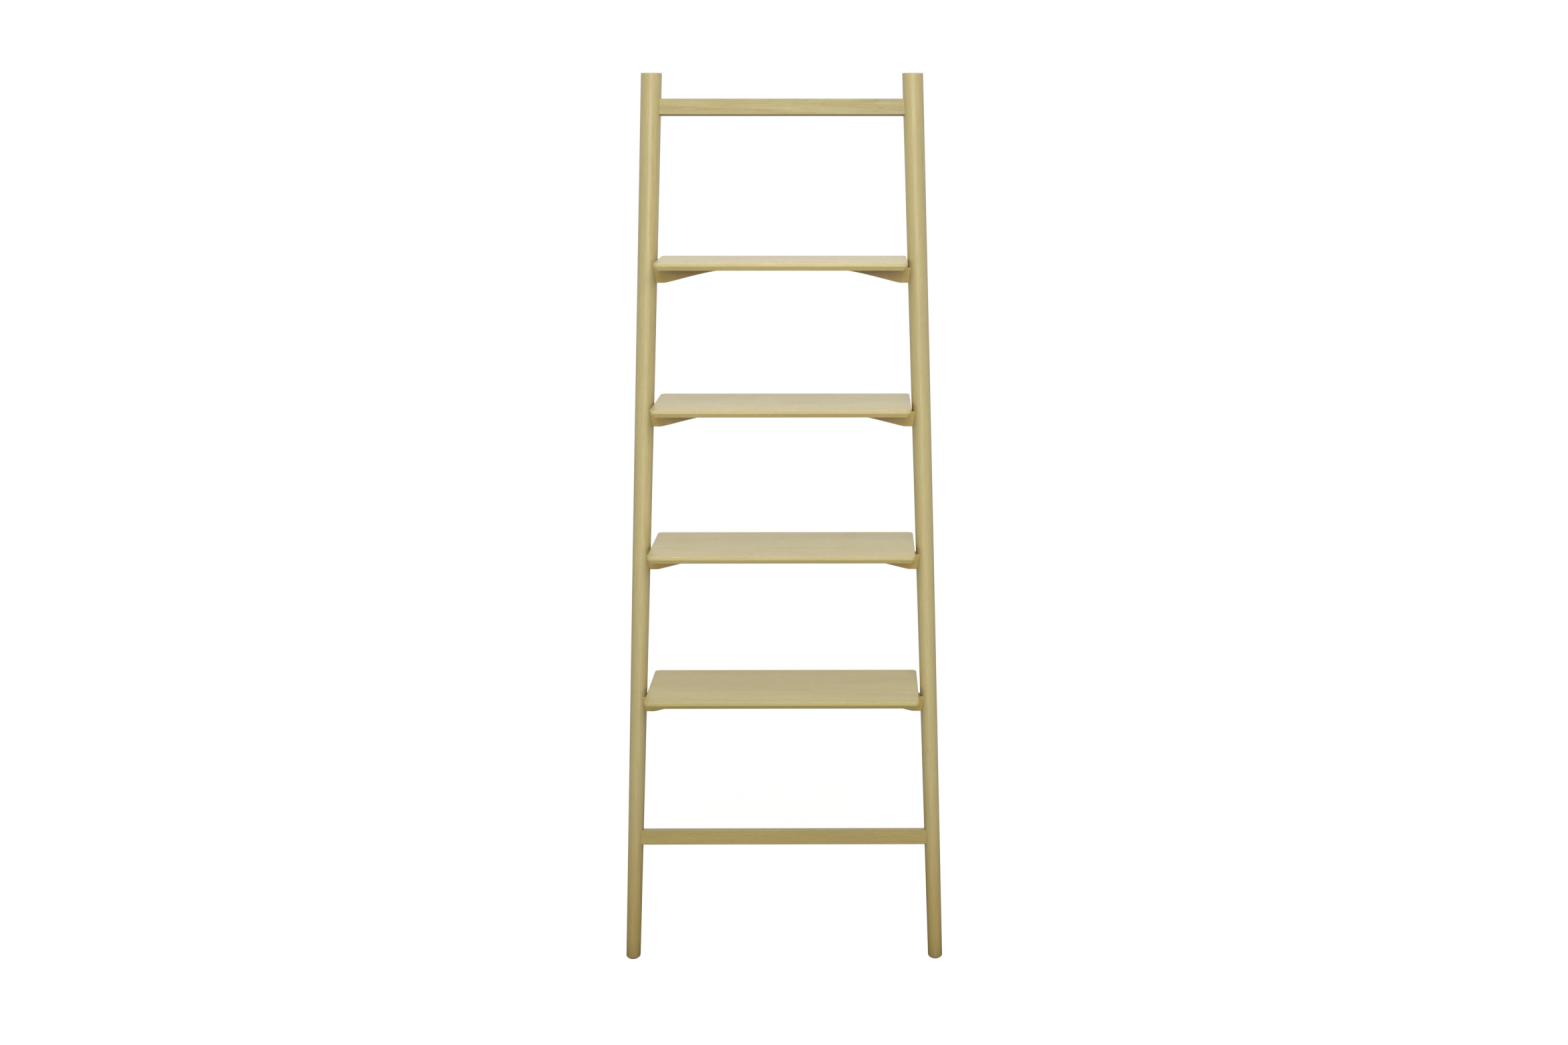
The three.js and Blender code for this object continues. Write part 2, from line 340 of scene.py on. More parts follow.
@dataclass(frozen=True)
class EdgeWear:
    """The arrises of a piece, broken up as handling wears them.

    The turns are how near a rounded normal is to the plain one where wear starts and where it is
    full. Patches of a noise, between two of its values, leave two levels of wear. On the boards
    the mask also carries a painted highlight along the arrises.
    """

    turns: Point = (0.995, 0.88)
    samples: int = 4
    patch_scale: float = 0.05
    patch_detail: float = 3.0
    patches: Point = (0.3, 0.65)
    levels: Point = (0.25, 1.0)

    def fill(self, graph: Graph, entry: Node) -> dict[str, Socket]:
        """Finds the worn edges.

        Args:
            graph: The group's graph.
            entry: The group's input node.

        Returns:
            A mask that is 1 on worn edges.
        """
        width = {"Radius": entry.outputs["Width"]}
        rounded = graph.add("ShaderNodeBevel", width, samples=self.samples).outputs[0]
        plain = graph.add("ShaderNodeNewGeometry").outputs["Normal"]
        turn = graph.vector("DOT_PRODUCT", rounded, plain, output="Value")
        place = graph.millimetres(entry.outputs["Vector"])
        noise = graph.noise(place, (self.patch_scale,), detail=self.patch_detail)
        patches = graph.span(noise, *self.patches, *self.levels)
        edge = graph.span(turn, *self.turns)
        return {"Mask": graph.math("MULTIPLY", edge, patches, clamp=True)}


@dataclass(frozen=True)
class Nooks:
    """Painted shade in the nooks between pieces, darkest where a place sees least around it.

    The openings are how much of its surroundings a place sees where a nook starts and where it
    is deepest.
    """

    openings: Point = (0.78, 0.5)
    samples: int = 8

    def fill(self, graph: Graph, entry: Node) -> dict[str, Socket]:
        """Finds the nooks.

        Args:
            graph: The group's graph.
            entry: The group's input node.

        Returns:
            A mask that is 1 deep in a nook.
        """
        reach = {"Distance": entry.outputs["Reach"]}
        seen = graph.add("ShaderNodeAmbientOcclusion", reach, samples=self.samples).outputs["AO"]
        return {"Mask": graph.span(seen, *self.openings)}


@dataclass(frozen=True)
class Handling:
    """Faint smears and dust that vary the gloss of a surface.

    Scales are changes per millimetre, for smears along the three axes.
    """

    smear_scale: Place = (0.012, 0.02, 0.012)
    smear_detail: float = 4.0
    smear_roughness: float = 0.6
    speck_scale: float = 0.9
    speck_range: Point = (0.55, 0.75)

    def fill(self, graph: Graph, entry: Node) -> dict[str, Socket]:
        """Makes the smears and specks.

        Args:
            graph: The group's graph.
            entry: The group's input node.

        Returns:
            A slow value round 0 for gloss, and a fine speckle from 0 to 1.
        """
        place = graph.millimetres(entry.outputs["Vector"])
        smears = graph.noise(place, self.smear_scale, self.smear_detail, self.smear_roughness)
        specks = graph.noise(place, (self.speck_scale,))
        return {
            "Smears": graph.span(smears, *NOISE_RANGE, -1.0, 1.0),
            "Specks": graph.span(specks, *self.speck_range),
        }


class SharedEffects:
    """The node groups that the finishes share."""

    def __init__(self) -> None:
        """Builds each group once."""
        self.grain = NodeGroup(
            "log_grain",
            {"Vector": None, "Ring spacing": 3.0, "Wander": 12.0},
            ("Early wood", "Pores", "Streaks", "Fibres", "Slow", "Height"),
            LogGrain().fill,
        )
        edge = {"Vector": None, "Width": MM}
        self.wear = NodeGroup("edge_wear", edge, ("Mask",), EdgeWear().fill)
        # The mask of the painted shade in the nooks between pieces.
        self.nooks = NodeGroup("nooks", {"Reach": 100 * MM}, ("Mask",), Nooks().fill)
        marks = ("Smears", "Specks")
        self.handling = NodeGroup("handling", {"Vector": None}, marks, Handling().fill)


# Finishes


class Canvas(Graph):
    """A material under work: its shader, the place on the piece, and the shared masks."""

    def __init__(
        self, name: str, look: Colour, effects: SharedEffects, wear_width: float
    ) -> None:
        """Starts the material.

        Args:
            name: The material's name.
            look: The colour that a plain view of it shows.
            effects: The shared node groups.
            wear_width: How far wear reaches from an arris.
        """
        self.material = bpy.data.materials.new(name)
        self.material.use_nodes = True
        self.material.diffuse_color = linear(look)
        super().__init__(self.material.node_tree)
        self.tree.nodes.clear()
        self.shader = self.add("ShaderNodeBsdfPrincipled")
        self.add("ShaderNodeOutputMaterial", {"Surface": self.shader.outputs[0]})
        self.place = self.add("ShaderNodeTexCoord").outputs["Object"]
        wear = {"Vector": self.place, "Width": wear_width}
        self.worn = effects.wear.place(self, wear)["Mask"]
        handling = effects.handling.place(self, {"Vector": self.place})
        self.smears, self.specks = handling["Smears"], handling["Specks"]

    def changed(self, base: Value, masks: Iterable[Socket], changes: Iterable[float]) -> Value:
        """Changes a value from 0 to 1 where masks are.

        Args:
            base: The value.
            masks: The masks.
            changes: What each of them adds where it is full.

        Returns:
            The changed value.
        """
        for mask, change in zip(masks, changes):
            base = self.math("MULTIPLY_ADD", mask, change, base, clamp=True)
        return base

    def finished(self, colour: Value, rough: Value, normal: Value, **more: Value) -> Material:
        """Gives the shader its inputs.

        Args:
            colour: The colour.
            rough: The roughness.
            normal: The normal.
            **more: Other inputs by their names.

        Returns:
            The material.
        """
        inputs = {"Base Color": colour, "Roughness": rough, "Normal": normal, **more}
        self.feed(self.shader, inputs)
        return self.material


@dataclass(frozen=True)
class WoodFinish:
    """Wood that is cut from a log, planed, sanded and finished in oil.

    The grain runs along a direction in the object's frame, and the log's heart passes at minus
    the heart's place. Ring spacing and wander are in millimetres. Light is dense late wood, dark
    is porous early wood, and the nook shade colour is painted shade in the nooks between pieces.
    Worn is the colour of edge wear, which on the boards also paints a highlight along the arrises.
    Tone, figure, wear and nook say how strong each is, and early share and pore share how strong
    those two are at full figure. The foot shade tint is painted shade, darker and more golden
    towards the floor: it is full at the first height and gone at the second. The ranges are what
    each mask does to the colour, or adds to it at full figure. The rough changes are what pores,
    early wood, smears and wear add to the roughness. Relief is how strong the pores' depth looks.
    """

    name: str
    grain: Place = (1.0, 0.0, 0.0)
    heart: Place = (0.0, 0.03, -0.07)
    ring_spacing: float = 3.0
    wander: float = 12.0
    light: Colour = (196, 181, 126)
    dark: Colour = (180, 163, 106)
    pore: Colour = (142, 118, 72)
    worn: Colour = (224, 214, 180)
    oiled: Colour = (104, 74, 22)
    tone: float = 1.0
    figure: float = 0.75
    wear: float = 0.4
    nook: float = 0.3
    nook_reach: float = 100 * MM
    low_tint: Colour | None = None
    low_reach: Point = (0.05, 0.45)
    roughness: float = 0.33
    rough_changes: tuple[float, ...] = (0.16, 0.05, 0.03, -0.08)
    depth: float = 0.25 * MM
    relief: float = 0.35
    refraction: float = 1.5
    wear_width: float = 1.8 * MM
    early_share: float = 0.42
    pore_share: float = 0.6
    slow_range: Point = (0.96, 1.035)
    streak_range: Point = (-0.07, 0.06)
    fibre_range: Point = (-0.045, 0.04)

    def make(self, effects: SharedEffects) -> Material:
        """Builds the finish as a material.

        Args:
            effects: The shared node groups.

        Returns:
            The material.
        """
        canvas = Canvas(self.name, self.light, effects, self.wear_width)
        turn = Vector(self.grain).rotation_difference(Vector((1.0, 0.0, 0.0))).to_euler("XYZ")
        inputs = {"Vector": canvas.place, "Location": self.heart, "Rotation": turn}
        log = canvas.add("ShaderNodeMapping", inputs, vector_type="POINT").outputs[0]
        inputs = {"Vector": log, "Ring spacing": self.ring_spacing, "Wander": self.wander}
        grain = effects.grain.place(canvas, inputs)

        early = canvas.math("MULTIPLY", grain["Early wood"], self.early_share * self.figure)
        wood = canvas.blend(early, linear(self.light), linear(self.dark))
        shade = canvas.span(grain["Slow"], *NOISE_RANGE, *self.slow_range)
        for mask, span in (("Streaks", self.streak_range), ("Fibres", self.fibre_range)):
            ends = [1.0 + end * self.figure for end in span]
            change = canvas.span(grain[mask], *NOISE_RANGE, *ends)
            shade = canvas.math("MULTIPLY", shade, change)
        shade = canvas.math("MULTIPLY", shade, self.tone)
        wood = canvas.blend(1.0, wood, shade, mode="MULTIPLY")
        pores = canvas.math("MULTIPLY", grain["Pores"], self.pore_share * self.figure)
        wood = canvas.blend(pores, wood, linear(self.pore))
        # Edge wear; on the boards it is pale and strong, and is partly real wear and partly a
        # painted highlight along the arrises.
        worn = canvas.math("MULTIPLY", canvas.worn, self.wear)
        wood = canvas.blend(worn, wood, linear(self.worn))
        # Painted shade: the colour darkens towards the nook shade colour where a place sees little
        # of its surroundings.
        if self.nook:
            nooks = effects.nooks.place(canvas, {"Reach": self.nook_reach})["Mask"]
            nooks = canvas.math("MULTIPLY", nooks, self.nook)
            wood = canvas.blend(nooks, wood, linear(self.oiled))
        # Painted shade: the colour darkens and turns more golden towards the floor, standing in
        # for the light and sheen that fade there.
        if self.low_tint:
            height = canvas.add("ShaderNodeSeparateXYZ", {0: canvas.place}).outputs["Z"]
            low = canvas.span(height, *self.low_reach, 1.0, 0.0)
            wood = canvas.blend(low, wood, linear(self.low_tint), mode="MULTIPLY")

        masks = (grain["Pores"], grain["Early wood"], canvas.smears, canvas.worn)
        rough = canvas.changed(self.roughness, masks, self.rough_changes)
        normal = canvas.bump(grain["Height"], self.relief, self.depth)
        return canvas.finished(wood, rough, normal, IOR=self.refraction)


@dataclass(frozen=True)
class RubberFinish:
    """Moulded rubber: dark, dull, finely pebbled, and dusty where it is touched.

    The dust shares are how dusty specks and worn edges are.
    """

    name: str = "dark_rubber"
    colour: Colour = (44, 42, 39)
    dust: Colour = (92, 88, 80)
    dust_shares: Point = (0.35, 0.3)
    roughness: float = 0.78
    smear: float = 0.06
    pebbles: float = 2.2
    depth: float = 0.2 * MM
    relief: float = 0.3
    wear_width: float = 0.6 * MM

    def make(self, effects: SharedEffects) -> Material:
        """Builds the finish as a material.

        Args:
            effects: The shared node groups.

        Returns:
            The material.
        """
        canvas = Canvas(self.name, self.colour, effects, self.wear_width)
        dusty = canvas.changed(0.0, (canvas.specks, canvas.worn), self.dust_shares)
        colour = canvas.blend(dusty, linear(self.colour), linear(self.dust))
        rough = canvas.changed(self.roughness, (canvas.smears,), (self.smear,))
        pebbles = canvas.noise(canvas.millimetres(canvas.place), (self.pebbles,))
        return canvas.finished(colour, rough, canvas.bump(pebbles, self.relief, self.depth))


@dataclass(frozen=True)
class ZincFinish:
    """Zinc-plated steel: a soft metal sheen with dull patches and brighter edges.

    Dullness is how dull the specks are, and dull rough what they add to the roughness.
    """

    name: str = "plated_zinc"
    bright: Colour = (196, 198, 202)
    dull: Colour = (158, 160, 160)
    rubbed: Colour = (222, 224, 226)
    dullness: float = 0.7
    roughness: float = 0.33
    dull_rough: float = 0.2
    grit: float = 3.0
    grit_detail: float = 3.0
    depth: float = 0.1 * MM
    relief: float = 0.15
    wear_width: float = 0.3 * MM

    def make(self, effects: SharedEffects) -> Material:
        """Builds the finish as a material.

        Args:
            effects: The shared node groups.

        Returns:
            The material.
        """
        canvas = Canvas(self.name, self.bright, effects, self.wear_width)
        dull = canvas.math("MULTIPLY", canvas.specks, self.dullness)
        colour = canvas.blend(dull, linear(self.bright), linear(self.dull))
        colour = canvas.blend(canvas.worn, colour, linear(self.rubbed))
        rough = canvas.changed(self.roughness, (canvas.specks,), (self.dull_rough,))
        place = canvas.millimetres(canvas.place)
        grit = canvas.noise(place, (self.grit,), detail=self.grit_detail)
        normal = canvas.bump(grit, self.relief, self.depth)
        return canvas.finished(colour, rough, normal, Metallic=1.0)


# Meshes


def revolve(profile: Iterable[Point], steps: int) -> Mesh:
    """Turns a profile round Z into a closed solid.

    Args:
        profile: Pairs of radius and height, from one end's middle to the other's.
        steps: How many sides the solid has.

    Returns:
        The solid, with its faces outwards.
    """
    bm = bmesh.new()
    points = [bm.verts.new((radius, 0.0, height)) for radius, height in profile]
    edges = [bm.edges.new(pair) for pair in zip(points, points[1:])]
    bmesh.ops.spin(
        bm,
        geom=points + edges,
        cent=(0, 0, 0),
        axis=(0, 0, 1),
        angle=2 * math.pi,
        steps=steps,
        use_merge=True,
        use_duplicate=False,
    )
    bmesh.ops.remove_doubles(bm, verts=bm.verts, dist=MERGE_DISTANCE)
    bmesh.ops.recalc_face_normals(bm, faces=bm.faces)
    return bm


def rod(bm: Mesh, radius: float, length: float, sides: int, place: Matrix = Matrix()) -> None:
    """Adds a straight rod to a mesh.

    Args:
        bm: The mesh.
        radius: The rod's radius.
        length: Its length.
        sides: How many sides it has.
        place: Turns and moves it from the origin, where it is upright.
    """
    bmesh.ops.create_cone(
        bm,
        cap_ends=True,
        segments=sides,
        radius1=radius,
        radius2=radius,
        depth=length,
        matrix=place,
    )


def block(size: Sequence[float], middle: Sequence[float]) -> Mesh:
    """Makes a plain block.

    Args:
        size: Its width, depth and height.
        middle: Its middle point.

    Returns:
        The block.
    """
    bm = bmesh.new()
    bmesh.ops.create_cube(bm, size=1.0)
    bmesh.ops.scale(bm, vec=Vector(size), verts=bm.verts)
    bmesh.ops.translate(bm, vec=Vector(middle), verts=bm.verts)
    return bm


def soften(bm: Mesh, edges: Iterable[bmesh.types.BMEdge], width: float, steps: int) -> None:
    """Rounds edges.

    Args:
        bm: The mesh.
        edges: The edges that are rounded.
        width: How far from the edge the round starts.
        steps: How many faces it is made of.
    """
    bmesh.ops.bevel(
        bm,
        geom=list(edges),
        offset=width,
        offset_type="OFFSET",
        segments=steps,
        profile=0.5,
        affect="EDGES",
        material=-1,
        clamp_overlap=True,
    )


def join_all(parts: Iterable[Mesh]) -> Mesh:
    """Joins meshes under work.

    Args:
        parts: The meshes, which are used up.

    Returns:
        One mesh.
    """
    whole = bmesh.new()
    for part in parts:
        mesh = bpy.data.meshes.new("joined")
        part.to_mesh(mesh)
        part.free()
        whole.from_mesh(mesh)
        bpy.data.meshes.remove(mesh)
    return whole


def object_from(bm: Mesh, name: str) -> Thing:
    """Makes an object at the origin.

    Args:
        bm: The mesh under work, which is used up.
        name: The object's name.

    Returns:
        The object.
    """
    mesh = bpy.data.meshes.new(name)
    bm.to_mesh(mesh)
    bm.free()
    thing = bpy.data.objects.new(name, mesh)
    bpy.context.scene.collection.objects.link(thing)
    return thing


def bake_modifiers(thing: Thing) -> None:
    """Replaces an object's mesh by what its modifiers make of it.

    Args:
        thing: The object.
    """
    bpy.context.view_layer.update()
    depsgraph = bpy.context.evaluated_depsgraph_get()
    made = bpy.data.meshes.new_from_object(thing.evaluated_get(depsgraph))
    old = thing.data
    thing.modifiers.clear()
    thing.data = made
    bpy.data.meshes.remove(old)
    made.name = thing.name


def cut(thing: Thing, tools: Iterable[Mesh]) -> None:
    """Cuts tools out of an object.

    Args:
        thing: The object.
        tools: Closed solids, which are used up.
    """
    cutters = [object_from(tool, "cutter") for tool in tools]
    for cutter in cutters:
        modifier = thing.modifiers.new("cut", "BOOLEAN")
        modifier.operation = "DIFFERENCE"
        modifier.solver = "EXACT"
        modifier.object = cutter
    bake_modifiers(thing)
    for cutter in cutters:
        mesh = cutter.data
        bpy.data.objects.remove(cutter)
        bpy.data.meshes.remove(mesh)


def smooth(thing: Thing) -> None:
    """Shades a piece smoothly up to its sharp edges, with flat faces kept flat.

    Args:
        thing: The piece.
    """
    mesh = thing.data
    mesh.shade_smooth()
    mesh.set_sharp_from_angle(angle=SMOOTH_ANGLE)
    modifier = thing.modifiers.new("even_normals", "WEIGHTED_NORMAL")
    modifier.keep_sharp = True
    modifier.weight = FACE_WEIGHT
    bake_modifiers(thing)


def finish_piece(thing: Thing, material: Material, nodes: Sequence[str]) -> None:
    """Shades and dresses a piece and puts it in the place of its solids.

    Args:
        thing: The piece.
        material: Its material.
        nodes: The solids that the piece replaces.
    """
    smooth(thing)
    thing.data.materials.clear()
    thing.data.materials.append(material)
    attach(thing, BODY)
    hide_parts(*nodes)
    LOG.info("%s: %d faces, for %s", thing.name, len(thing.data.polygons), ", ".join(nodes))


# The ladder's plan and its pieces


@dataclass(frozen=True)
class Plan:
    """The lines that every piece is set out from.

    The half spans lie between the middle and a stile's axis, at the top and at the floor. The
    top place is where the axes' tops are along Y.
    """

    height: float = 1800 * MM
    lean: float = math.radians(11.1)
    top_half_span: float = 268.5 * MM
    foot_half_span: float = 315.5 * MM
    top_diameter: float = 43 * MM
    middle_diameter: float = 37.6 * MM
    foot_diameter: float = 29.5 * MM
    top_place: float = 0.0

    @property
    def slope(self) -> float:
        """How far the ladder goes back for each metre that it rises."""
        return math.tan(self.lean)

    @property
    def splay(self) -> float:
        """How far the right stile goes out for each metre up, negative as it comes in."""
        return (self.top_half_span - self.foot_half_span) / self.height

    def axis_x(self, z: float) -> float:
        """Distance of a stile's axis from the middle, at a height."""
        return self.foot_half_span + self.splay * z

    def axis_y(self, z: float) -> float:
        """Place of the stiles' axes along Y, at a height."""
        return self.top_place + (z - self.height) * self.slope

    def radius(self, z: float) -> float:
        """The stile's radius at a height: a parabola through its three diameters.

        Args:
            z: The height.

        Returns:
            The radius.
        """
        share = 1 - z / self.height
        straight = self.top_diameter + (self.foot_diameter - self.top_diameter) * share
        swell = self.middle_diameter - (self.top_diameter + self.foot_diameter) / 2
        return (straight + 4 * swell * share * (1 - share)) / 2

    def face_x(self, z: float) -> float:
        """Distance of a stile's inner face from the middle, at a height."""
        return self.axis_x(z) - self.radius(z)

    def axis_direction(self, side: Side) -> Vector:
        """The direction in which a stile rises."""
        return Vector((side.value * self.splay, self.slope, 1.0)).normalized()

    def leaning(self, side: Side) -> Matrix:
        """Leans and splays an upright pole, with its ends kept level.

        Args:
            side: The stile that the pole is for.

        Returns:
            The shear.
        """
        sign = side.value
        rows = (
            (1.0, 0.0, sign * self.splay, sign * self.foot_half_span),
            (0.0, 1 / math.cos(self.lean), self.slope, self.axis_y(0.0)),
            (0.0, 0.0, 1.0, 0.0),
            (0.0, 0.0, 0.0, 1.0),
        )
        return Matrix(rows)


@dataclass(frozen=True)
class Joint:
    """Two hidden dowels in each end of a rung, whose middle is at a height.

    Upright is how straight up the pair stands, where 1 is plumb.
    """

    height: float
    upright: float = 1.0
    spacing: float = 15 * MM
    diameter: float = 8 * MM
    in_stile: float = 15 * MM
    in_rung: float = 20 * MM
    end_clearance: float = 0.5 * MM
    sides: int = 24

    def drills(self, plan: Plan, side: Side) -> Mesh:
        """Makes the two drills of one end.

        Args:
            plan: The ladder's plan.
            side: The stile that the end meets.

        Returns:
            Both drills as one mesh.
        """
        length = self.in_stile + self.in_rung + 2 * self.end_clearance
        both = bmesh.new()
        for step in (-0.5, 0.5):
            z = self.height + step * self.spacing * self.upright
            middle = side.value * (plan.face_x(z) + (self.in_stile - self.in_rung) / 2)
            place = Matrix.Translation((middle, plan.axis_y(z), z))
            place = place @ Matrix.Rotation(QUARTER_TURN, 4, "Y")
            rod(both, self.diameter / 2 + HOLE_CLEARANCE, length, self.sides, place)
        return both


def quarter_round(radius: float, end: float, size: float, towards: int, steps: int) -> list[Point]:
    """Sets out a quarter round from a level end to the side of a pole or disc.

    Args:
        radius: Radius of the side.
        end: Height of the end.
        size: Radius of the round.
        towards: 1 if the side goes up from this end, or -1 if it goes down.
        steps: How many faces the round has.

    Returns:
        Pairs of radius and height.
    """
    angles = [QUARTER_TURN * step / steps for step in range(steps + 1)]
    return [
        (radius - size * (1 - math.sin(angle)), end + towards * size * (1 - math.cos(angle)))
        for angle in angles
    ]


@dataclass(frozen=True)
class Stile:
    """A round pole, level at both ends and planed flat where it meets the wall.

    Its bottom is on the pad. Rings are how many lengths it is divided into.
    """

    plan: Plan
    side: Side
    finish: WoodFinish
    bottom: float = 1.5 * MM
    top_arris: float = 1.2 * MM
    foot_round: float = 3.5 * MM
    wall_flat_depth: float = 5 * MM
    sides: int = 64
    rings: int = 60
    round_steps: int = 4

    @property
    def wall_flat_y(self) -> float:
        """Where the flat for the wall lies along Y."""
        radius = self.plan.radius(self.plan.height) / math.cos(self.plan.lean)
        return self.plan.top_place + radius - self.wall_flat_depth

    def pole(self, extra: float = 0.0) -> Mesh:
        """Makes the whole pole in its place.

        Args:
            extra: What is added to its radius, for a pole that cuts others.

        Returns:
            The pole, with its faces outwards.
        """
        plan = self.plan
        bottom, top, steps = self.bottom, plan.height, self.round_steps
        foot = quarter_round(plan.radius(bottom) + extra, bottom, self.foot_round, 1, steps)
        head = quarter_round(plan.radius(top) + extra, top, self.top_arris, -1, steps)
        heights = [bottom + (top - bottom) * i / self.rings for i in range(1, self.rings)]
        body = [(plan.radius(z) + extra, z) for z in heights]
        profile = [(0.0, bottom), *foot, *body, *reversed(head), (0.0, top)]
        bm = revolve(profile, self.sides)
        bmesh.ops.transform(bm, matrix=plan.leaning(self.side), verts=bm.verts)
        return bm

    def build(self, joints: Iterable[Joint], effects: SharedEffects) -> None:
        """Builds, drills and dresses the stile.

        Args:
            joints: The joints of all rungs.
            effects: The shared node groups.
        """
        bm = self.pole()
        planed = bmesh.ops.bisect_plane(
            bm,
            geom=[*bm.verts, *bm.edges, *bm.faces],
            plane_co=(0, self.wall_flat_y, 0),
            plane_no=(0, 1, 0),
            clear_outer=True,
        )
        rim = [item for item in planed["geom_cut"] if isinstance(item, bmesh.types.BMEdge)]
        bmesh.ops.contextual_create(bm, geom=rim)
        bmesh.ops.recalc_face_normals(bm, faces=bm.faces)
        label = self.side.label
        thing = object_from(bm, f"oak_stile_{label}")
        cut(thing, [join_all(joint.drills(self.plan, self.side) for joint in joints)])
        finish_piece(thing, self.finish.make(effects), [f"stile_{label}"])


def cope(thing: Thing, stiles: Sequence[Stile], joint: Joint) -> None:
    """Cuts a rung's ends to sit round the stiles, and drills them for their dowels.

    Args:
        thing: The rung.
        stiles: The two stiles.
        joint: The rung's joint.
    """
    poles = join_all(stile.pole(COPE_GAP) for stile in stiles)
    drills = join_all(joint.drills(stile.plan, stile.side) for stile in stiles)
    cut(thing, [poles, drills])


def long_corners(bm: Mesh) -> list[bmesh.types.BMEdge]:
    """Finds the edges that run along X between two faces that meet at a corner."""
    corners = [edge for edge in bm.edges if edge.calc_face_angle(0.0) > CORNER_ANGLE]
    return [e for e in corners if abs(e.verts[0].co.x - e.verts[1].co.x) > SAME_PLACE]


@dataclass(frozen=True)
class Rail:
    """A flat rail across the ladder, square to the stiles, with its middle at a height."""

    plan: Plan
    node: str
    height: float
    width: float
    finish: WoodFinish
    thickness: float = 22 * MM
    arris: float = 1.2 * MM

    @property
    def joint(self) -> Joint:
        """The dowels in its ends, side by side along the stile."""
        return Joint(self.height, math.cos(self.plan.lean))

    def build(self, stiles: Sequence[Stile], effects: SharedEffects) -> None:
        """Builds, fits and dresses the rail.

        Args:
            stiles: The two stiles.
            effects: The shared node groups.
        """
        length = 2 * self.plan.axis_x(self.height)
        bm = block((length, self.thickness, self.width), (0, 0, 0))
        soften(bm, long_corners(bm), self.arris, ARRIS_STEPS)
        place = Matrix.Translation((0, self.plan.axis_y(self.height), self.height))
        place = place @ Matrix.Rotation(-self.plan.lean, 4, "X")
        bmesh.ops.transform(bm, matrix=place, verts=bm.verts)
        thing = object_from(bm, f"oak_{self.node}")
        cope(thing, stiles, self.joint)
        finish_piece(thing, self.finish.make(effects), [self.node])


@dataclass(frozen=True)
class ShelfScrew:
    """A countersunk screw that holds a board on its bearer from below."""

    length: float = 18 * MM
    shank: float = 4 * MM
    head: float = 8 * MM
    rim: float = 0.6 * MM
    tip: float = 4 * MM
    rim_arris: float = 0.15 * MM
    socket_width: float = 3 * MM
    socket_depth: float = 1.6 * MM
    sides: int = 32

    def turned(self, start: Sequence[Point], extra: float) -> Mesh:
        """Turns the screw's shape upright, with its head down.

        Args:
            start: The profile up to the head's rim.
            extra: What is added all round.

        Returns:
            The solid.
        """
        head, shank = self.head / 2 + extra, self.shank / 2 + extra
        rest = [
            (head, self.rim),
            (shank, self.rim + head - shank),
            (shank, self.length - self.tip),
            (0.0, self.length + extra),
        ]
        return revolve([*start, *rest], self.sides)

    def body(self) -> Mesh:
        """Makes the screw, its head's flat face at the origin."""
        head, arris = self.head / 2, self.rim_arris
        return self.turned([(0.0, 0.0), (head - arris, 0.0), (head, arris)], 0.0)

    def drill(self) -> Mesh:
        """Makes the hole's cutter, going down past the head."""
        head = self.head / 2 + HOLE_CLEARANCE
        return self.turned([(0.0, -CUT_OVERRUN), (head, -CUT_OVERRUN)], HOLE_CLEARANCE)

    def socket(self) -> Mesh:
        """Makes the cutter for the hexagon socket.

        Returns:
            The prism, with its middle at the head's face.
        """
        bm = bmesh.new()
        rod(bm, self.socket_width / 2, 2 * self.socket_depth, HEXAGON)
        return bm


